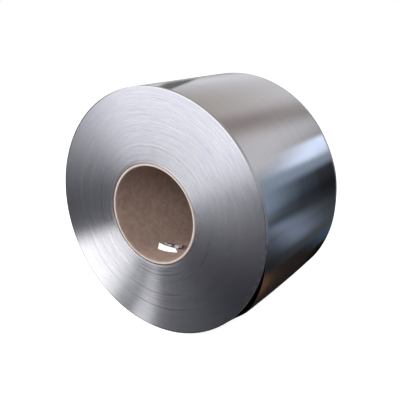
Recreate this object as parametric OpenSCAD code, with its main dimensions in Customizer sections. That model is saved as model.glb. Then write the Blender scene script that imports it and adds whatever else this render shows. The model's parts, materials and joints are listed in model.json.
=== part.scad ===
// Aluminium jacketing coil: a long aluminium strip wound edge to edge on a
// plain paper core, lying on its side. The axis of the coil runs along Y, the
// part rests on the floor at Z = 0, and the origin is on the floor under the
// middle of the coil. Millimetres.

/* [Wound strip] */
// Outside diameter of the wound strip
coil_od = 1040; // [700:5:1400]
// Width of the strip, which is the length of the coil along its axis
strip_w = 660; // [300:5:1250]
// Thickness of the strip
strip_t = 0.8; // [0.5:0.1:1.2]

/* [Slack outer turn] */
// Where the outer turn leaves the coil, in degrees round from the bottom
slack_from = 96; // [80:1:104]
// Where it stands furthest off the coil, in degrees round from the bottom
slack_top = 59; // [54:1:66]
// Where it lies on the coil again, in degrees round from the bottom
slack_to = 41; // [34:1:50]
// How far it stands off the coil at most
slack_h = 23; // [12:1:36]

/* [Winding on the ends] */
// Deepest step between groups of turns on the end faces
step_d = 1.5; // [0.5:0.1:3]

/* [Core tube] */
// Bore of the paper core tube
core_id = 405; // [150:1:508]
// Wall of the paper core tube
core_wall = 15; // [8:0.5:25]
// Chamfer on the mouths of the core tube
core_chamfer = 1; // [0.5:0.1:3]

/* [Label in the bore] */
// Length of the paper label along the bore
tag_len = 90; // [60:5:120]
// Width of the label round the bore
tag_wide = 100; // [40:5:160]
// Thickness of the label
tag_t = 0.5; // [0.3:0.1:0.6]
// Distance from the end of the coil to the near edge of the label
tag_in = 88; // [20:1:150]
// Middle of the label, in degrees round from the bottom of the bore
tag_at = -2; // [-90:1:90]

/* [Hidden] */

$fn = 180;
coil_r = coil_od / 2;
core_r = core_id / 2;
core_out = core_r + core_wall;
eps = 0.02;

// Groups of turns on an end face, from the core outwards: the outer edge of
// the group as a share of the way from the core to the outside, and how deep
// the group is set back as a share of step_d. The last group carries the full
// width of the strip.
groups = [
    [0.03, 1.00],
    [0.11, 0.30],
    [0.24, 0.10],
    [0.45, 0.50],
    [0.56, 0.25],
    [0.64, 0.40],
    [1.00, 0.00]
];

// Half of the length of the coil at one group of turns
function half_at(i) = strip_w / 2 - step_d * groups[i][1];
function edge_at(i) = core_out + (coil_r - core_out) * groups[i][0];

// Outline of half of the wound strip: radius across, axis up the page
function upper_steps() = [
    for (i = [0 : len(groups) - 1])
        for (k = [0, 1])
            [k == 0 ? (i == 0 ? core_out : edge_at(i - 1)) : edge_at(i), half_at(i)]
];
function lower_steps() = [
    for (i = [len(groups) - 1 : -1 : 0])
        for (k = [1, 0])
            [k == 0 ? (i == 0 ? core_out : edge_at(i - 1)) : edge_at(i), -half_at(i)]
];

// Smooth step from 0 to 1
function ease(t) = t <= 0 ? 0 : t >= 1 ? 1 : t * t * (3 - 2 * t);

// Stand-off of the slack turn from the coil, as a share of slack_h: a long
// gentle rise going down the side and a shorter return underneath
function slack_rise(a) = a >= slack_top
    ? ease(pow(max(slack_from - a, 0) / (slack_from - slack_top), 0.8))
    : ease(pow(max(a - slack_to, 0) / (slack_top - slack_to), 1.7));

// A point on the slack turn: degrees round from the bottom towards +X
function slack_pt(a, drop) =
    let (r = coil_r - 1 - drop + (slack_h + 1) * slack_rise(a))
    [r * sin(a), -r * cos(a)];

slack_steps = 40;
function slack_angle(i) = slack_to + (slack_from - slack_to) * i / slack_steps;

// Turns the drawing plane so that its up is Z and its depth runs along Y
module along_axis(len) {
    translate([0, 0, coil_r]) rotate([90, 0, 0])
        linear_extrude(height = len, center = true) children();
}

module turned() {
    translate([0, 0, coil_r]) rotate([90, 0, 0]) children();
}

// The turns, wound as one solid with the bore that holds the core
module wound_turns() {
    turned() rotate_extrude() polygon(concat(upper_steps(), lower_steps()));
}

// The outermost turn where it hangs slack: a sheet of strip with a gap behind
module slack_turn() {
    along_axis(strip_w) polygon(concat(
        [for (i = [0 : slack_steps]) slack_pt(slack_angle(i), 0)],
        [for (i = [slack_steps : -1 : 0]) slack_pt(slack_angle(i), strip_t)]
    ));
}

module coil() {
    color([0.74, 0.75, 0.77]) union() {
        wound_turns();
        slack_turn();
    }
}

// Paper core: a plain tube, flush with the ends of the coil
module core_tube() {
    c = core_chamfer;
    h = strip_w / 2;
    color([0.68, 0.58, 0.47]) turned() rotate_extrude() polygon([
        [core_r + c, h], [core_out - eps, h], [core_out - eps, -h], [core_r + c, -h],
        [core_r, -h + c], [core_r, h - c]
    ]);
}

// Blank label lying on the wall of the bore, near the end at -Y
module core_tag() {
    half = tag_wide / core_r * 90 / PI;
    near = -strip_w / 2 + tag_in;
    color([0.93, 0.93, 0.94])
        translate([0, near + tag_len, coil_r]) rotate([90, 0, 0])
        rotate([0, 0, tag_at - 90 - half])
        rotate_extrude(angle = 2 * half)
        translate([core_r - tag_t, 0]) square([tag_t - eps, tag_len]);
}

coil();
core_tube();
core_tag();
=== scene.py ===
"""Looks for the aluminium jacketing coil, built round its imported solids. Metres, +Z up."""

import json
import math
from collections import namedtuple

import bmesh
import bpy
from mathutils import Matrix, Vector, noise


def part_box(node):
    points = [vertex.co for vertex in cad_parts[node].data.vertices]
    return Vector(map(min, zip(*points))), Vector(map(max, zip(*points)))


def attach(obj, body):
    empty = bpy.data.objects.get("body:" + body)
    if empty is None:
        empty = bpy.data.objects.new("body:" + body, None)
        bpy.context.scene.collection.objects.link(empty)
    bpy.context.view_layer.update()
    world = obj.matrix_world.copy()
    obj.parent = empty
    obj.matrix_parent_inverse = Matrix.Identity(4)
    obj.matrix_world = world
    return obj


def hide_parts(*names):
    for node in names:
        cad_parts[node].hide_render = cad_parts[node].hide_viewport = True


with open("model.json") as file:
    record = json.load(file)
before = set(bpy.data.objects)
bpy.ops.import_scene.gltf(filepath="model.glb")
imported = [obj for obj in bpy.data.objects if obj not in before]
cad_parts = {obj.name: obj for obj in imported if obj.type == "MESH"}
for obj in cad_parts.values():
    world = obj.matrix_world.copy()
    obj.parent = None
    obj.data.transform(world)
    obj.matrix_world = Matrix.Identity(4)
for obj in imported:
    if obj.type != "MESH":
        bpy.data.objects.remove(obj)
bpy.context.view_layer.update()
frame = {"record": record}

# ---------------------------------------------------------------- sizes, from the frame
BORE = next(m for m in frame["record"]["mounts"] if m["name"] == "core_bore")
AXIS_Z = BORE["pos_m"][2]
BORE_R = BORE["dims"]["r_mm"] / 1000
COIL_R = AXIS_Z
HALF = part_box("coil")[1].y
CORE_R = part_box("core_tube")[1].x
# thickness of the strip, as in part.scad
STRIP = 0.0008

# ---------------------------------------------------------------- camera, at the photo's angle
EYE = (1.283, -1.855, 1.273)
LOOK = (-0.5694, 0.7619, -0.3088)
LENS = 46.85
SHIFT = (0.05, -0.025)

# ---------------------------------------------------------------- materials of each piece, in slot order
TURN_EDGES, MILL_WRAP, STRIP_INNER, INNER_TURNS, OUTER_EDGE = range(5)
CORE_PAPER, CORE_END = range(2)
LABEL_FACE, LABEL_BACK = range(2)


def srgb(r, g, b):
    """A colour given as 0 to 255 display values, in linear light."""
    def one(v):
        v /= 255
        return v / 12.92 if v <= 0.04045 else ((v + 0.055) / 1.055) ** 2.4
    return (one(r), one(g), one(b), 1.0)


def ease(t):
    """Smooth step from 0 to 1."""
    t = min(max(t, 0.0), 1.0)
    return t * t * (3 - 2 * t)


def on_coil(angle, radius, y):
    """A point at degrees from the top towards +X, a radius from the coil's axis, and a place along it."""
    a = math.radians(angle)
    return Vector((radius * math.sin(a), y, AXIS_Z + radius * math.cos(a)))


# ---------------------------------------------------------------- mesh helpers
def add_face(bm, corners, slot, smooth=True):
    f = bm.faces.new(corners)
    f.material_index = slot
    f.smooth = smooth


def mesh_object(name, bm, materials):
    """A new object in the scene from a finished bmesh."""
    mesh = bpy.data.meshes.new(name)
    bm.to_mesh(mesh)
    bm.free()
    for m in materials:
        mesh.materials.append(m)
    obj = bpy.data.objects.new(name, mesh)
    bpy.context.scene.collection.objects.link(obj)
    return obj


# ---------------------------------------------------------------- node helpers
# x, y, z from the coil's axis, the radius, and the direction outwards
Place = namedtuple("Place", "x y z r out_x out_z")


class Graph:
    """A short way to write shader nodes."""

    def __init__(self, tree):
        self.tree = tree
        tree.nodes.clear()

    def node(self, kind, **props):
        n = self.tree.nodes.new(kind)
        for k, v in props.items():
            setattr(n, k, v)
        return n

    def put(self, socket, value):
        if isinstance(value, bpy.types.NodeSocket):
            self.tree.links.new(value, socket)
        else:
            socket.default_value = value

    def math(self, op, a, b=0.0):
        n = self.node("ShaderNodeMath", operation=op)
        self.put(n.inputs[0], a)
        self.put(n.inputs[1], b)
        return n.outputs[0]

    def add(self, a, b):
        return self.math("ADD", a, b)

    def sub(self, a, b):
        return self.math("SUBTRACT", a, b)

    def mul(self, a, b):
        return self.math("MULTIPLY", a, b)

    def ramp(self, value, lo, hi, out_lo=0.0, out_hi=1.0):
        """A smooth step from out_lo at lo to out_hi at hi."""
        n = self.node("ShaderNodeMapRange", interpolation_type="SMOOTHSTEP")
        self.put(n.inputs["Value"], value)
        self.put(n.inputs["From Min"], lo)
        self.put(n.inputs["From Max"], hi)
        self.put(n.inputs["To Min"], out_lo)
        self.put(n.inputs["To Max"], out_hi)
        return n.outputs["Result"]

    def mix(self, fac, a, b):
        n = self.node("ShaderNodeMix", data_type="RGBA", blend_type="MIX")
        self.put(n.inputs[0], fac)
        self.put(n.inputs[6], a)
        self.put(n.inputs[7], b)
        return n.outputs[2]

    def noise(self, vector, scale, detail=2.0, rough=0.5):
        n = self.node("ShaderNodeTexNoise")
        self.put(n.inputs["Vector"], vector)
        n.inputs["Scale"].default_value = scale
        n.inputs["Detail"].default_value = detail
        n.inputs["Roughness"].default_value = rough
        return n.outputs["Fac"]

    def noise_along(self, value):
        """Noise along one number."""
        n = self.node("ShaderNodeTexNoise", noise_dimensions="1D")
        self.put(n.inputs["W"], value)
        n.inputs["Scale"].default_value = 1.0
        n.inputs["Detail"].default_value = 1.0
        n.inputs["Roughness"].default_value = 0.5
        return n.outputs["Fac"]

    def join(self, x, y, z):
        n = self.node("ShaderNodeCombineXYZ")
        for i, v in enumerate((x, y, z)):
            self.put(n.inputs[i], v)
        return n.outputs[0]

    def split(self, vector):
        n = self.node("ShaderNodeSeparateXYZ")
        self.put(n.inputs[0], vector)
        return n.outputs

    def place(self):
        """Where the shaded point is on the coil."""
        x, y, up = self.split(self.node("ShaderNodeTexCoord").outputs["Object"])
        z = self.sub(up, AXIS_Z)
        r = self.math("SQRT", self.add(self.mul(x, x), self.mul(z, z)))
        return Place(x, y, z, r, self.math("DIVIDE", x, r), self.math("DIVIDE", z, r))

    def facing(self, at, kx, kz):
        """How far the direction outwards agrees with (kx, kz)."""
        return self.add(self.mul(at.out_x, kx), self.mul(at.out_z, kz))

    def arcs(self, at, across, k_across, k_round, detail=2.0, rough=0.6):
        """Streaks that run round the coil: fine across, long round it, and closed on themselves."""
        p = self.join(self.mul(across, k_across), self.mul(at.out_x, k_round), self.mul(at.out_z, k_round))
        return self.noise(p, 1.0, detail, rough)

    def bump(self, height, strength, distance):
        n = self.node("ShaderNodeBump")
        n.inputs["Strength"].default_value = strength
        n.inputs["Distance"].default_value = distance
        self.put(n.inputs["Height"], height)
        return n.outputs[0]

    def principled(self, **sockets):
        b = self.node("ShaderNodeBsdfPrincipled")
        for k, v in sockets.items():
            self.put(b.inputs[k.replace("_", " ")], v)
        out = self.node("ShaderNodeOutputMaterial")
        self.tree.links.new(b.outputs[0], out.inputs[0])
        return b

    def brush_round(self, b, amount):
        """Blur the mirror across fine marks that run round the coil's axis."""
        b.inputs["Anisotropic"].default_value = amount
        b.inputs["Anisotropic Rotation"].default_value = 0.25
        tangent = self.node("ShaderNodeTangent", direction_type="RADIAL", axis="Y")
        self.put(b.inputs["Tangent"], tangent.outputs[0])


def new_material(name, colour):
    """A node material, with the plain colour that it shows in a viewport."""
    m = bpy.data.materials.new(name)
    m.use_nodes = True
    m.diffuse_color = colour
    return m, Graph(m.node_tree)


# ---------------------------------------------------------------- materials of the coil
WHITE = (1.0, 1.0, 1.0, 1)
FACE_ROUGH = 0.16
FIRST_TURNS_ROUGH = 0.25
# the direction, nearly on top and a little towards +X, where the streaks are painted with most contrast and
# the outermost edge gets a painted highlight
UPRIGHT = (0.42, 0.91)

# turns painted lighter or darker than their neighbours for part of the way round: painted highlights where a
# turn catches more light, painted shade where it catches less; how far out as a share of the way from the
# core, from and to (degrees from the top towards +X), width in mm, how much lighter or darker
ARCS = (
    (0.25, -32, 68, 4.5, 0.60),
    (0.23, -30, 60, 5.0, -0.40),
    (0.56, 6, 27, 3.5, 0.70),
    (0.54, -15, 0, 3.5, 0.60),
    (0.58, 4, 22, 4.0, -0.22),
    (0.70, -16, -2, 5.0, -0.22),
    (0.67, -16, -4, 3.5, 0.40),
    (0.83, 26, 48, 3.0, 0.60),
    (0.86, 0, 22, 5.0, -0.18),
    (0.75, 18, 40, 3.5, 0.50),
    (0.44, 22, 50, 3.0, 0.50),
    (0.38, 2, 20, 3.0, 0.45),
    (0.11, 5, 42, 4.0, 0.50),
    (0.65, 146, 206, 4.5, -0.50),
    (0.63, 148, 200, 4.0, 0.60),
    (0.46, 148, 212, 4.0, 0.60),
    (0.44, 150, 208, 4.0, -0.45),
    (0.73, 150, 172, 3.5, 0.35),
    (0.15, 140, 205, 4.5, -0.40),
    (0.13, 150, 196, 4.0, 0.40),
    (0.09, 152, 200, 4.0, -0.35),
    (0.54, 160, 200, 3.0, -0.35),
)
# colour of the painted shade on the darker turns
ARC_PAINTED_SHADE = (0.35, 0.35, 0.39, 1)


def rim_painted_lit_side(g, at):
    """Where the outermost edge is painted as lit: on top and towards +X; elsewhere it is painted in shade."""
    return g.ramp(g.facing(at, 0.75, 0.65), -0.05, 0.45)


def turn_streaks(g, at, arcs):
    """Base colour of the slit edges: fine streaks, clearest above and below the core."""
    short = g.arcs(at, at.r, 250.0, 7.0, 1.0)
    rows = g.noise_along(g.mul(at.r, 150.0))
    tone = g.add(g.add(g.mul(arcs, 0.3), g.mul(short, 0.6)), g.mul(rows, 0.1))
    upright = g.facing(at, *UPRIGHT)
    clear = g.ramp(g.mul(upright, upright), 0.15, 0.90, 0.5, 1.0)
    tone = g.mul(g.sub(tone, 0.5), clear)
    return g.mix(g.ramp(tone, -0.20, 0.20), (0.785, 0.790, 0.915, 1), (0.930, 0.935, 1.0, 1))


def arc_mask(g, at, share, start, stop, width):
    """Where one of ARCS lies: strongest along its middle, gone at its ends and sides."""
    mid = math.radians((start + stop) / 2)
    half = math.radians((stop - start) / 2)
    facing = g.facing(at, math.sin(mid), math.cos(mid))
    along = g.ramp(facing, math.cos(half), math.cos(half * 0.55))
    off = g.math("ABSOLUTE", g.sub(at.r, CORE_R + (COIL_R - CORE_R) * share))
    return g.mul(along, g.ramp(off, 0.0, width / 1000, 1.0, 0.0))


def make_turn_edges():
    """Slit edges of the turns: fine streaks, sharp round the coil and blurred along the radius."""
    m, g = new_material("turn_edges", (0.75, 0.75, 0.80, 1))
    at = g.place()
    arcs = g.arcs(at, at.r, 230.0, 2.4, 1.0)
    colour = turn_streaks(g, at, arcs)
    broken = g.ramp(arcs, 0.30, 0.55, 0.45, 1.0)
    # the listed turns: mixed towards white as a painted highlight, or towards the dark colour as painted
    # shade
    for share, start, stop, width, shade in ARCS:
        mask = g.mul(arc_mask(g, at, share, start, stop, width), g.mul(broken, abs(shade)))
        colour = g.mix(mask, colour, WHITE if shade > 0 else ARC_PAINTED_SHADE)
    # the last turns before the rim: painted shade below and towards -X, a painted highlight on top
    rim = g.ramp(at.r, COIL_R - 0.0075, COIL_R - 0.0035)
    # worn here holds painted shade on the side away from the light
    worn = g.mul(g.sub(1.0, rim_painted_lit_side(g, at)), g.mul(rim, 0.7))
    colour = g.mix(worn, colour, (0.16, 0.16, 0.17, 1))
    # painted highlight: the top of the rim turned white
    rim_painted_highlight = g.mul(g.ramp(g.facing(at, *UPRIGHT), 0.72, 0.95), g.mul(rim, 0.8))
    colour = g.mix(rim_painted_highlight, colour, WHITE)
    b = g.principled(Base_Color=colour, Metallic=1.0, Roughness=FACE_ROUGH)
    g.brush_round(b, 1.0)
    return m


def make_inner_turns():
    """The first turns round the core, whose edges are burred and so mirror a little less sharply."""
    m, g = new_material("inner_turns", (0.70, 0.69, 0.72, 1))
    at = g.place()
    arcs = g.arcs(at, at.r, 400.0, 2.5)
    colour = g.mix(g.ramp(arcs, 0.35, 0.65), (0.70, 0.69, 0.74, 1), (0.95, 0.94, 0.98, 1))
    b = g.principled(Base_Color=colour, Metallic=1.0, Roughness=FIRST_TURNS_ROUGH)
    g.brush_round(b, 0.95)
    return m


def make_outer_edge():
    """The outermost edge: a painted highlight on top, painted shade with a random mottle elsewhere, and less
    rough where it is painted as lit.
    """
    m, g = new_material("outer_edge", (0.6, 0.6, 0.62, 1))
    at = g.place()
    shade_mottle = g.arcs(at, at.y, 300.0, 9.0, 3.0)
    # bright marks the side painted as lit; the mottled near-black colour is painted shade
    bright = rim_painted_lit_side(g, at)
    painted_shade = g.mix(shade_mottle, (0.05, 0.05, 0.055, 1), (0.13, 0.13, 0.14, 1))
    colour = g.mix(bright, painted_shade, (0.82, 0.82, 0.84, 1))
    g.principled(Base_Color=colour, Metallic=1.0, Roughness=g.sub(0.65, g.mul(bright, 0.35)))
    return m


def make_mill_wrap():
    """Outer face of the strip: bright mill finish with faint rolling lines round the coil."""
    m, g = new_material("mill_wrap", (0.80, 0.80, 0.82, 1))
    at = g.place()
    lines = g.arcs(at, at.y, 420.0, 1.8, 3.0)
    cloud = g.arcs(at, at.y, 5.0, 1.3, 3.0, 0.5)
    colour = g.mix(g.ramp(lines, 0.35, 0.65), (0.84, 0.84, 0.85, 1), (0.90, 0.90, 0.91, 1))
    rough = g.add(g.ramp(cloud, 0.3, 0.7, 0.105, 0.125), g.ramp(lines, 0.3, 0.7, 0.0, 0.01))
    normal = g.bump(lines, 0.05, 0.0002)
    b = g.principled(Base_Color=colour, Metallic=1.0, Roughness=rough, Normal=normal)
    g.brush_round(b, 0.6)
    return m


def make_strip_inner():
    """Inner face of the strip, seen only in the gap behind the slack turn: painted near-black as the shade in
    that gap.
    """
    m, g = new_material("strip_inner_painted_shade", (0.02, 0.02, 0.02, 1))
    at = g.place()
    cloud = g.arcs(at, at.y, 30.0, 8.0, 3.0)
    colour = g.mix(cloud, (0.010, 0.010, 0.012, 1), (0.022, 0.021, 0.020, 1))
    g.principled(Base_Color=colour, Metallic=0.0, Roughness=0.55)
    return m


# ---------------------------------------------------------------- materials of the core and the label
# ply seams along a metre of the tube
SEAMS_PER_M = 5.2


def make_core_paper():
    """Kraft paper of the tube: mottled fibres, darker specks and the faint seam of the wound plies."""
    m, g = new_material("core_paper", (0.30, 0.22, 0.17, 1))
    at = g.place()
    spot = g.join(at.x, at.y, at.z)
    fibre = g.arcs(at, at.y, 260.0, 120.0, 3.0)
    mottle = g.noise(spot, 38.0, 4.0, 0.6)
    specks = g.ramp(g.noise(spot, 190.0, 1.0, 0.5), 0.70, 0.78)
    tone = g.add(g.mul(fibre, 0.45), g.mul(mottle, 0.55))
    colour = g.mix(g.ramp(tone, 0.32, 0.68), srgb(142, 122, 113), srgb(170, 148, 137))
    colour = g.mix(g.mul(specks, 0.45), colour, srgb(98, 76, 66))
    turns = g.mul(g.math("ARCTAN2", at.x, at.z), 1 / (2 * math.pi))
    lead = g.sub(g.math("FRACT", g.add(g.mul(at.y, SEAMS_PER_M), turns)), 0.5)
    seam = g.ramp(g.math("ABSOLUTE", lead), 0.0, 0.012, 1.0, 0.0)
    colour = g.mix(g.mul(seam, 0.2), colour, srgb(110, 90, 80))
    height = g.sub(g.mul(tone, 0.5), g.mul(seam, 0.5))
    b = g.principled(Base_Color=colour, Roughness=0.78, Normal=g.bump(height, 0.5, 0.0006))
    b.inputs["Specular IOR Level"].default_value = 0.3
    return m


def make_core_end():
    """Cut end of the tube: the paper's plies as fine pale rings, darker towards the outside."""
    m, g = new_material("core_end", (0.55, 0.50, 0.47, 1))
    at = g.place()
    plies = g.arcs(at, at.r, 900.0, 3.0)
    fuzz = g.noise(g.join(at.x, at.y, at.z), 420.0, 3.0, 0.7)
    tone = g.add(g.mul(plies, 0.6), g.mul(fuzz, 0.4))
    colour = g.mix(g.ramp(tone, 0.32, 0.68), srgb(168, 157, 153), srgb(212, 203, 200))
    outer = g.ramp(at.r, CORE_R - 0.0075, CORE_R - 0.002, 0.0, 0.75)
    colour = g.mix(outer, colour, srgb(120, 106, 102))
    b = g.principled(Base_Color=colour, Roughness=0.8, Normal=g.bump(tone, 0.6, 0.0008))
    b.inputs["Specular IOR Level"].default_value = 0.3
    return m


def make_label_face():
    """White paper, made to glow a little so that it shows bright in the dark bore: painted light."""
    m, g = new_material("label_face_painted_glow", (0.9, 0.9, 0.92, 1))
    at = g.place()
    grain = g.noise(g.join(at.x, at.y, at.z), 300.0, 3.0, 0.6)
    colour = g.mix(g.ramp(grain, 0.3, 0.7), srgb(240, 240, 244), srgb(254, 254, 255))
    b = g.principled(Base_Color=colour, Roughness=0.42, Normal=g.bump(grain, 0.12, 0.0003))
    # the emission is painted light: it brightens the paper as if it were lit
    b.inputs["Emission Color"].default_value = WHITE
    b.inputs["Emission Strength"].default_value = 0.62
    return m


def make_label_back():
    """Glossy backing film, pale lavender."""
    m, g = new_material("label_back", (0.7, 0.66, 0.78, 1))
    at = g.place()
    crease = g.noise(g.join(at.x, at.y, at.z), 52.0, 2.0, 0.5)
    colour = g.mix(g.ramp(crease, 0.42, 0.58), srgb(84, 80, 112), srgb(246, 246, 255))
    normal = g.bump(crease, 0.3, 0.002)
    b = g.principled(Base_Color=colour, Metallic=0.15, Roughness=0.2, Normal=normal)
    b.inputs["Coat Weight"].default_value = 0.8
    b.inputs["Coat Roughness"].default_value = 0.12
    return m


# ---------------------------------------------------------------- the wound strip
SEGMENTS = 320
END_RINGS = 72
WRAP_STEPS = 48
RIM = 0.0012
RIM_STEPS = 3
# groups of turns on an end face, from the core outwards: the outer edge as a share of the way from the core
# to the outside, and how deep the group is set back as a share of STEP_D
GROUPS = ((0.03, 1.00), (0.11, 0.30), (0.24, 0.10), (0.45, 0.50), (0.56, 0.25), (0.64, 0.40), (1.00, 0.00))
STEP_D = 0.0003
BLEND = 0.018
# unevenness of the wound turns on the ends: long round the coil, and from turn to turn
RIPPLE = 0.00001
TURN_RIPPLE = 0.000006


def end_depth(share, angle, end):
    """How far the turn at this share of the build is set back from the end of the coil."""
    depth = next(back for edge, back in GROUPS if share <= edge)
    for (edge, back), (_, after) in zip(GROUPS, GROUPS[1:]):
        if abs(share - edge) < BLEND:
            depth = back + (after - back) * ease((share - edge + BLEND) / (2 * BLEND))
    a = math.radians(angle)
    around = Vector((math.cos(a) * 0.6, math.sin(a) * 0.6, share * 55 + end * 9))
    by_turn = Vector((3.1, end * 5.0, share * 140))
    depth *= STEP_D
    # both die out at the rim
    depth += RIPPLE * (1 + noise.noise(around)) * (1 - ease((share - 0.96) / 0.04))
    depth += TURN_RIPPLE * (1 + noise.noise(by_turn)) * (1 - ease((share - 0.97) / 0.03))
    return depth


# slack outer turn, in degrees round from the bottom: where it leaves the turns below, where it stands
# furthest off at the front and at the back, where it lies on them again
SLACK_FROM, SLACK_TOP_FRONT, SLACK_TOP_BACK, SLACK_TO = 94.0, 60.0, 54.0, 41.0
# how far it stands off at the front, in the middle and at the back
SLACK_FRONT, SLACK_MIDDLE, SLACK_BACK = 0.021, 0.023, 0.0185
# how far its two long edges run into the coil
SLACK_SINK = 0.001
# how sharply it bends away from the coil again underneath
SLACK_BEND = 1.7
SLACK_ACROSS, SLACK_ALONG = 64, 40
# how much closer its rows lie at the front end, from 0, even, to 1
SLACK_CROWD = 0.35
# how far the turns below it stand out, between which degrees from the bottom, and over how many it fades
SWELL = 0.0035
SWELL_FROM, SWELL_TO, SWELL_FADE = 118, 62, 18


def swell(low):
    """The turns below the slack one stand out a little too, down the side that faces +X."""
    return SWELL * ease((SWELL_FROM - low) / SWELL_FADE) * ease((low - SWELL_TO) / SWELL_FADE)


def slack_rise(low, y):
    """Stand-off of the slack turn as a share of its height at this place along the coil."""
    share = (y + HALF) / (2 * HALF)
    top = SLACK_TOP_FRONT + (SLACK_TOP_BACK - SLACK_TOP_FRONT) * share
    if low >= top:
        return ease((SLACK_FROM - low) / (SLACK_FROM - top))
    return ease((max(low - SLACK_TO, 0) / (top - SLACK_TO)) ** SLACK_BEND)


def slack_height(y):
    """How far the slack turn stands off at most, along the coil."""
    u = (y + HALF) / (2 * HALF)
    front = SLACK_FRONT * (1 - u) * (1 - 2 * u)
    middle = SLACK_MIDDLE * 4 * u * (1 - u)
    return front + middle + SLACK_BACK * u * (2 * u - 1)


def slack_radius(low, y):
    return COIL_R + swell(low) - SLACK_SINK + (slack_height(y) + SLACK_SINK) * slack_rise(low, y)


# depth of the broad and the close waves on the outer face
WAVE, CLOSE_WAVE = 0.00022, 0.00007


def wrap_sink(angle, y):
    """How far the outer turn lies inside the coil's full radius: soft waves left by winding."""
    a = math.radians(angle)
    broad = Vector((math.cos(a) * 2.6, math.sin(a) * 2.6, y * 2.2 + 4.0))
    close = Vector((math.cos(a) * 6.5, math.sin(a) * 6.5, y * 1.1 - 2.0))
    return WAVE * (1 + noise.noise(broad)) + CLOSE_WAVE * (1 + noise.noise(close))


def coil_profile():
    """The lathe line, as (kind, share, y share): front end outwards, outer face, back end inwards."""
    even = {i / (END_RINGS - 1) for i in range(END_RINGS)}
    at_steps = {edge + k * BLEND / 4 for edge, _ in GROUPS[:-1] for k in (-4, -2, -1, 0, 1, 2, 4)}
    shares = sorted(even | at_steps)
    front = [("end", share, -1) for share in shares]
    front += [("rim", k / RIM_STEPS, -1) for k in range(1, RIM_STEPS + 1)]
    wrap = [("wrap", 0, -1 + 2 * i / WRAP_STEPS) for i in range(1, WRAP_STEPS)]
    back = [(kind, share, 1) for kind, share, _ in reversed(front)]
    return front + wrap + back


def coil_point(kind, share, along, angle):
    """A point on the lathe line, turned to an angle from the top."""
    out = COIL_R + swell(180 - angle)
    if kind == "end":
        r = CORE_R + (out - RIM - CORE_R) * share
        return on_coil(angle, r, along * (HALF - end_depth(share, angle, along)))
    if kind == "rim":
        t = math.radians(90 * share)
        r = out - RIM + RIM * math.sin(t) - wrap_sink(angle, along * HALF) * share
        return on_coil(angle, r, along * (HALF - RIM + RIM * math.cos(t)))
    return on_coil(angle, out - wrap_sink(angle, along * HALF), along * (HALF - RIM))


def coil_slot(a, b):
    """The material of the faces between two points of the lathe line."""
    kinds = {a[0], b[0]}
    if "rim" in kinds:
        return OUTER_EDGE
    if "wrap" in kinds:
        return MILL_WRAP
    first_group = GROUPS[0][0]
    return INNER_TURNS if (a[1] + b[1]) / 2 < first_group else TURN_EDGES


def build_coil(materials):
    bm = bmesh.new()
    line = coil_profile()
    angles = [360 * j / SEGMENTS for j in range(SEGMENTS)]
    rows = [[bm.verts.new(coil_point(*p, a)) for a in angles] for p in line]
    for i in range(len(rows)):
        k = (i + 1) % len(rows)
        slot = coil_slot(line[i], line[k])
        for j in range(SEGMENTS):
            n = (j + 1) % SEGMENTS
            add_face(bm, (rows[i][j], rows[k][j], rows[k][n], rows[i][n]), slot)
    # the two corners at the core
    for j in range(SEGMENTS):
        n = (j + 1) % SEGMENTS
        for row in (rows[0], rows[-1]):
            bm.edges.get((row[j], row[n])).smooth = False
    add_slack(bm)
    bmesh.ops.recalc_face_normals(bm, faces=bm.faces[:])
    return mesh_object("coil_turns", bm, materials)


def add_slack(bm):
    """The slack turn: a thin closed sheet whose two long edges run into the coil."""
    outer, inner = [], []
    for i in range(SLACK_ALONG + 1):
        t = i / SLACK_ALONG
        y = -HALF + 2 * HALF * (t * t * SLACK_CROWD + t * (1 - SLACK_CROWD))
        out_row, in_row = [], []
        for k in range(SLACK_ACROSS + 1):
            low = SLACK_TO + (SLACK_FROM - SLACK_TO) * k / SLACK_ACROSS
            r = slack_radius(low, y)
            out_row.append(bm.verts.new(on_coil(180 - low, r, y)))
            in_row.append(bm.verts.new(on_coil(180 - low, r - STRIP, y)))
        outer.append(out_row)
        inner.append(in_row)

    # the inner side of the slack sheet carries the painted shade of the gap beneath it
    for out_a, out_b, in_a, in_b in zip(outer, outer[1:], inner, inner[1:]):
        for k in range(SLACK_ACROSS):
            n = k + 1
            add_face(bm, (out_a[k], out_a[n], out_b[n], out_b[k]), MILL_WRAP)
            add_face(bm, (in_a[k], in_b[k], in_b[n], in_a[n]), STRIP_INNER)
        add_face(bm, (out_a[0], out_b[0], in_b[0], in_a[0]), TURN_EDGES, smooth=False)
        add_face(bm, (out_a[-1], in_a[-1], in_b[-1], out_b[-1]), TURN_EDGES, smooth=False)
    for out_end, in_end in ((outer[0], inner[0]), (outer[-1], inner[-1])):
        for k in range(SLACK_ACROSS):
            n = k + 1
            add_face(bm, (out_end[k], in_end[k], in_end[n], out_end[n]), TURN_EDGES, smooth=False)


# ---------------------------------------------------------------- the paper core
CORE_SEGMENTS = 192
CORE_STEPS = 24
# radius of the worn inner lip, and of the rolled outer edge that leaves a thin gap to the turns
LIP, ROLL = 0.0062, 0.0060
ROLL_GAP = 0.0004
# the rolled edge is this much deeper along the tube than across its wall
ROLL_DEPTH = 1.3
CURVE_STEPS = 4
# steps of the lip that still count as the bore
LIP_IN_BORE = 3
# unevenness of the cut ends, across and along the tube, and how far from the bore and from the end it reaches
CORE_WOBBLE, CORE_DIP = 0.00035, 0.0003
WOBBLE_FROM, CUT_ZONE = 0.008, 0.012


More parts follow.
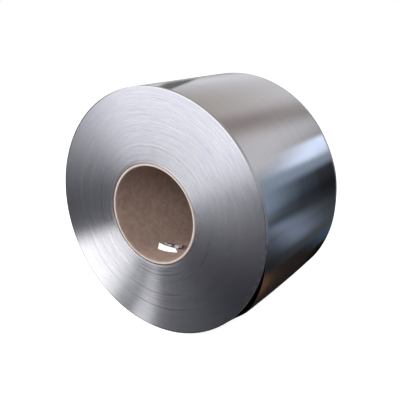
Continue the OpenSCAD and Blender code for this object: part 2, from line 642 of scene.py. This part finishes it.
def core_end_line():
    """One end of the tube from the bore outwards, as (radius, y, is it part of the cut end)."""
    quarter = [math.radians(90 * k / CURVE_STEPS) for k in range(CURVE_STEPS + 1)]
    lip = [(BORE_R + LIP - LIP * math.cos(t), HALF - LIP + LIP * math.sin(t), k >= LIP_IN_BORE)
           for k, t in enumerate(quarter)]
    flat = [(BORE_R + LIP + (CORE_R - ROLL - BORE_R - LIP) * k / 4, HALF, True) for k in (1, 2, 3)]
    roll = [(CORE_R - ROLL + ROLL * math.sin(t) - ROLL_GAP,
             HALF - ROLL_DEPTH * ROLL * (1 - math.cos(t)), True) for t in quarter]
    return lip + flat + roll


def core_profile():
    """The lathe line: front end outwards, back end inwards, then along the bore to the front."""
    end = core_end_line()
    front = [(r, -y, cut) for r, y, cut in end]
    back = list(reversed(end))
    bore = [(BORE_R, (HALF - LIP) * (1 - 2 * i / CORE_STEPS), False) for i in range(1, CORE_STEPS)]
    return front + back + bore


def core_point(r, y, cut, angle):
    """A point on the lathe line, turned to an angle: the cut ends are a little uneven."""
    a = math.radians(angle)
    end = 1 if y > 0 else -1
    wobble = dip = 0.0
    if cut:
        wobble = CORE_WOBBLE * noise.noise(Vector((math.cos(a) * 1.7, math.sin(a) * 1.7, y * 3 + 8)))
        dip = CORE_DIP * (1 + noise.noise(Vector((math.cos(a) * 4, math.sin(a) * 4, end * 3 + r * 60))))
    if r > BORE_R + WOBBLE_FROM:
        r -= abs(wobble)
    return on_coil(angle, r, y - end * dip)


def build_core(materials):
    """Tube with worn mouths: rounded inner lip and rolled outer edge."""
    bm = bmesh.new()
    line = core_profile()
    angles = [360 * j / CORE_SEGMENTS for j in range(CORE_SEGMENTS)]
    rows = [[bm.verts.new(core_point(*p, a)) for a in angles] for p in line]
    for i in range(len(rows)):
        k = (i + 1) % len(rows)
        (_, y_i, cut_i), (_, y_k, cut_k) = line[i], line[k]
        near_end = min(abs(y_i), abs(y_k)) > HALF - CUT_ZONE
        slot = CORE_END if cut_i and cut_k and near_end else CORE_PAPER
        for j in range(CORE_SEGMENTS):
            n = (j + 1) % CORE_SEGMENTS
            add_face(bm, (rows[i][j], rows[k][j], rows[k][n], rows[i][n]), slot)
    bmesh.ops.recalc_face_normals(bm, faces=bm.faces[:])
    return mesh_object("core_tube_paper", bm, materials)


# ---------------------------------------------------------------- the label in the bore
# thickness of a leaf, and the least its face stands off the wall, in mm
LEAF_T, LEAF_CLEAR = 0.25, 0.35
LEAF_LONG, LEAF_WIDE = 36, 12
# a leaf's near edge and far edge, as mm round the wall (from the bottom towards +X), mm in from the front
# end and mm off the wall, and how far the leaf is arched between them, along its length
PAPER_LEAF = (
    ((-45, 91, 2.4), (-15, 99, 2.6), (16, 106, 2.4), (46, 113, 2.0)),
    ((-74, 133, 0.6), (-47, 140, 1.0), (-20, 146, 1.4), (6, 149, 1.6)),
    (0.6, 0.8, 0.8, 0.5),
)
BACKING_LEAF = (
    ((-60, 152, 1.6), (-30, 151, 3.0), (2, 146, 5.5), (32, 139, 9.0), (54, 136, 15.0)),
    ((-60, 162, 0.6), (-36, 180, 0.8), (-12, 192, 1.2), (12, 190, 6.0), (40, 172, 18.0)),
    (0.6, 1.5, 2.5, 3.5, 2.0),
)


def in_bore(along, deep, high):
    """A point from mm round the wall, mm in from the front end and mm off the wall."""
    low = math.degrees(along / 1000 / BORE_R)
    return on_coil(180 - low, BORE_R - high / 1000, -HALF + deep / 1000)


def through(points, t):
    """A smooth line through a few points, evenly spaced in t."""
    n = len(points) - 1
    k = min(int(t * n), n - 1)
    u = t * n - k
    p = [Vector(points[max(0, min(n, k + j))]) for j in (-1, 0, 1, 2)]
    square = 2 * p[0] - 5 * p[1] + 4 * p[2] - p[3]
    cube = 3 * p[1] - p[0] - 3 * p[2] + p[3]
    return 0.5 * (2 * p[1] + (p[2] - p[0]) * u + square * u * u + cube * u ** 3)


def add_leaf(bm, near, far, arch, slot):
    """A thin closed leaf between two edges, arched between them."""
    top, under = [], []
    for i in range(LEAF_LONG + 1):
        t = i / LEAF_LONG
        a, b = through(near, t), through(far, t)
        lift = through([(0, 0, h) for h in arch], t).z
        top_row, under_row = [], []
        for j in range(LEAF_WIDE + 1):
            v = j / LEAF_WIDE
            q = a.lerp(b, v)
            h = max(q.z + lift * math.sin(math.pi * v), LEAF_CLEAR)
            top_row.append(bm.verts.new(in_bore(q.x, q.y, h)))
            under_row.append(bm.verts.new(in_bore(q.x, q.y, h - LEAF_T)))
        top.append(top_row)
        under.append(under_row)

    for top_a, top_b, under_a, under_b in zip(top, top[1:], under, under[1:]):
        for j in range(LEAF_WIDE):
            n = j + 1
            add_face(bm, (top_a[j], top_b[j], top_b[n], top_a[n]), slot)
            add_face(bm, (under_a[j], under_a[n], under_b[n], under_b[j]), slot)
        add_face(bm, (top_a[0], under_a[0], under_b[0], top_b[0]), slot)
        add_face(bm, (top_a[-1], top_b[-1], under_b[-1], under_a[-1]), slot)
    for j in range(LEAF_WIDE):
        n = j + 1
        add_face(bm, (top[0][j], top[0][n], under[0][n], under[0][j]), slot)
        add_face(bm, (top[-1][j], under[-1][j], under[-1][n], top[-1][n]), slot)


def build_label(materials):
    """A white paper strip stuck to the bore, with its glossy backing curled up behind it."""
    bm = bmesh.new()
    add_leaf(bm, *PAPER_LEAF, LABEL_FACE)
    add_leaf(bm, *BACKING_LEAF, LABEL_BACK)
    bmesh.ops.recalc_face_normals(bm, faces=bm.faces[:])
    return mesh_object("core_label", bm, materials)


# ---------------------------------------------------------------- the stage
BACKDROP_R = 30
FLOOR_R = 22


def make_backdrop_white():
    m, g = new_material("stage_white", WHITE)
    glow = g.node("ShaderNodeEmission")
    glow.inputs["Strength"].default_value = 1.0
    out = g.node("ShaderNodeOutputMaterial")
    g.tree.links.new(glow.outputs[0], out.inputs[0])
    return m


def make_floor_white():
    m, g = new_material("floor_white", WHITE)
    b = g.principled(Base_Color=(0.85, 0.85, 0.85, 1), Roughness=0.9)
    b.inputs["Emission Color"].default_value = WHITE
    b.inputs["Emission Strength"].default_value = 0.78
    return m


def build_stage():
    """A pale plain floor and a pale backdrop, which the coil neither mirrors nor is lit by."""
    bm = bmesh.new()
    bmesh.ops.create_icosphere(bm, subdivisions=4, radius=BACKDROP_R)
    backdrop = mesh_object("backdrop", bm, [make_backdrop_white()])
    backdrop.visible_diffuse = False
    backdrop.visible_glossy = False
    backdrop.visible_transmission = False
    backdrop.visible_shadow = False

    bm = bmesh.new()
    bmesh.ops.create_circle(bm, cap_ends=True, radius=FLOOR_R, segments=96)
    floor = mesh_object("floor", bm, [make_floor_white()])
    floor.visible_glossy = False
    floor.visible_diffuse = False


# ---------------------------------------------------------------- the light
# what the studio looks like from the coil: soft panels by azimuth (degrees from +X towards +Y) and
# elevation, each with a width, a height, a tilt, an edge softness, a colour and a strength
Panel = namedtuple("Panel", "name az el width height tilt soft colour strength")
PANELS = (
    # behind and beside the coil: mirrored by the outer turn
    ("ceiling_back", 105, 35, 70, 25, -5, 10, (165, 158, 153), 1.0),
    ("wall_back", 115, 14, 55, 18, -15, 18, (215, 215, 220), 1.0),
    ("ceiling_right", 60, 20, 35, 15, 20, 10, (195, 193, 197), 1.0),
    ("beam", 88, 38, 8, 25, -35, 8, (135, 125, 125), 1.0),
    ("post", 126, 17, 3.5, 25, 5, 1, (105, 105, 105), 1.0),
    ("shade_right", 80, -30, 80, 50, 0, 10, (5, 5, 5), 1.0),
    ("wall_right", 52, -10, 12, 45, -35, 8, (130, 145, 165), 1.0),
    ("window_blue", 67, 11, 8, 4, 45, 3, (215, 230, 255), 1.6),
    ("doorway", 64, -4, 9, 14, -5, 4, (3, 3, 5), 1.0),
    ("floor_blue", 65, -20, 40, 5, -30, 18, (80, 85, 90), 1.0),
    ("floor_spot", 65, -20, 12, 1, -45, 6, (160, 175, 205), 1.0),
    ("floor_grey", 85, -27, 35, 12, 80, 2, (60, 75, 95), 1.0),
    ("floor_dark", 95, -36, 40, 10, -8, 3, (35, 30, 28), 1.0),
    ("floor_brown", 92, -44, 60, 6, -20, 2, (102, 76, 57), 1.0),
    ("wall_middle", 95, -5, 30, 30, 0, 15, (150, 150, 150), 1.0),
    ("screen_behind", 139, -10, 6, 60, -30, 8, (240, 240, 242), 1.0),
    # in front of the coil: mirrored by the end with the label
    ("shade_front", 218, -24, 100, 40, 4, 10, (30, 30, 36), 1.0),
    ("window_left", 237, 13, 34, 54, 5, 8, (255, 255, 255), 1.0),
    ("window_slant", 251, 0, 4, 55, -40, 15, (255, 255, 255), 1.2),
    ("panel_right", 312, 46, 95, 50, 25, 10, (225, 225, 220), 1.0),
    ("mullion", 248, 45, 3, 50, -15, 5, (120, 120, 120), 1.0),
    ("floor_left", 195, -40, 60, 30, 0, 5, (240, 240, 235), 1.0),
    ("floor_lit", 210, -32, 30, 12, 13, 3, (255, 253, 248), 2.1),
    ("floor_streak", 220, -33, 17, 4, 40, 2, (255, 255, 250), 1.2),
    ("floor_gap", 219, -36, 17, 4, 38, 2, (90, 90, 90), 1.0),
    ("floor_spoke", 224, -37, 14, 3, 50, 2, (255, 254, 250), 1.3),
    ("shade_left", 200, 60, 50, 35, 5, 10, (95, 95, 95), 1.0),
    ("screen_front", 318, -10, 6, 60, 30, 8, (240, 240, 242), 1.0),
)
# between the panels: straight up, the upper walls, and everything below the horizon
CEILING, WALLS, GROUND = srgb(170, 170, 170), srgb(120, 120, 120), srgb(136, 136, 140)


def panel_mask(g, chart, panel):
    """Where a panel lies on the chart of azimuth and elevation."""
    away = g.node("ShaderNodeVectorMath", operation="SUBTRACT", label=panel.name)
    g.put(away.inputs[0], chart)
    away.inputs[1].default_value = (panel.az, panel.el, 0)
    turned = g.node("ShaderNodeVectorRotate", rotation_type="Z_AXIS")
    g.put(turned.inputs["Vector"], away.outputs[0])
    turned.inputs["Angle"].default_value = -math.radians(panel.tilt)
    p = g.split(turned.outputs[0])
    across, up = [
        g.ramp(g.math("ABSOLUTE", p[i]), (size + panel.soft) / 2, (size - panel.soft) / 2)
        for i, size in enumerate((panel.width, panel.height))
    ]
    return g.mul(across, up)


def build_world():
    world = bpy.data.worlds.new("studio")
    bpy.context.scene.world = world
    world.use_nodes = True
    # the narrow mirror of the metal finds the panels by itself, with less noise than light sampling
    world.cycles.sampling_method = "NONE"
    g = Graph(world.node_tree)
    x, y, z = g.split(g.node("ShaderNodeTexCoord").outputs["Generated"])
    az = g.math("FLOORED_MODULO", g.math("DEGREES", g.math("ARCTAN2", y, x)), 360.0)
    el = g.math("DEGREES", g.math("ARCSINE", z))
    chart = g.join(az, el, 0.0)
    sky = g.mix(g.ramp(el, 30.0, 70.0), WALLS, CEILING)
    colour = g.mix(g.ramp(el, -10.0, 10.0), GROUND, sky)
    for panel in map(Panel._make, PANELS):
        red, green, blue, _ = srgb(*panel.colour)
        light = (red * panel.strength, green * panel.strength, blue * panel.strength, 1.0)
        colour = g.mix(panel_mask(g, chart, panel), colour, light)
    back = g.node("ShaderNodeBackground")
    g.put(back.inputs["Color"], colour)
    out = g.node("ShaderNodeOutputWorld")
    g.tree.links.new(back.outputs[0], out.inputs[0])


LAMP_SIZE = (1.8, 1.2)
LAMP_COLOUR = (1.0, 0.985, 0.97)


def aim(obj, direction):
    obj.rotation_mode = "QUATERNION"
    obj.rotation_quaternion = Vector(direction).to_track_quat("-Z", "Y")


def build_lamp(name, place, energy):
    """A large soft light from the front, for the paper; the bright metal mirrors the panels instead."""
    lamp = bpy.data.lights.new(name, "AREA")
    lamp.shape = "RECTANGLE"
    lamp.size, lamp.size_y = LAMP_SIZE
    lamp.energy = energy
    lamp.color = LAMP_COLOUR
    obj = bpy.data.objects.new(name, lamp)
    obj.location = place
    aim(obj, Vector((0, -HALF, AXIS_Z)) - obj.location)
    bpy.context.scene.collection.objects.link(obj)
    obj.visible_glossy = False
    obj.visible_camera = False


def build_camera():
    cam = bpy.data.cameras.new("camera")
    cam.lens = LENS
    cam.shift_x, cam.shift_y = SHIFT
    obj = bpy.data.objects.new("camera", cam)
    obj.location = EYE
    aim(obj, LOOK)
    bpy.context.scene.collection.objects.link(obj)
    bpy.context.scene.camera = obj


# ---------------------------------------------------------------- put together
build_camera()
bpy.context.scene.view_settings.view_transform = "Standard"

# in the order of TURN_EDGES, MILL_WRAP, STRIP_INNER, INNER_TURNS, OUTER_EDGE
metal = [make_turn_edges(), make_mill_wrap(), make_strip_inner(), make_inner_turns(), make_outer_edge()]
coil = build_coil(metal)
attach(coil, "root")
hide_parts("coil")

core = build_core([make_core_paper(), make_core_end()])
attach(core, "root")
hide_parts("core_tube")

label = build_label([make_label_face(), make_label_back()])
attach(label, "root")
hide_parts("core_tag")

build_stage()
build_world()
build_lamp("key", (-2.3, -2.7, 1.8), 95)
build_lamp("fill", (1.2, -2.8, 2.1), 60)
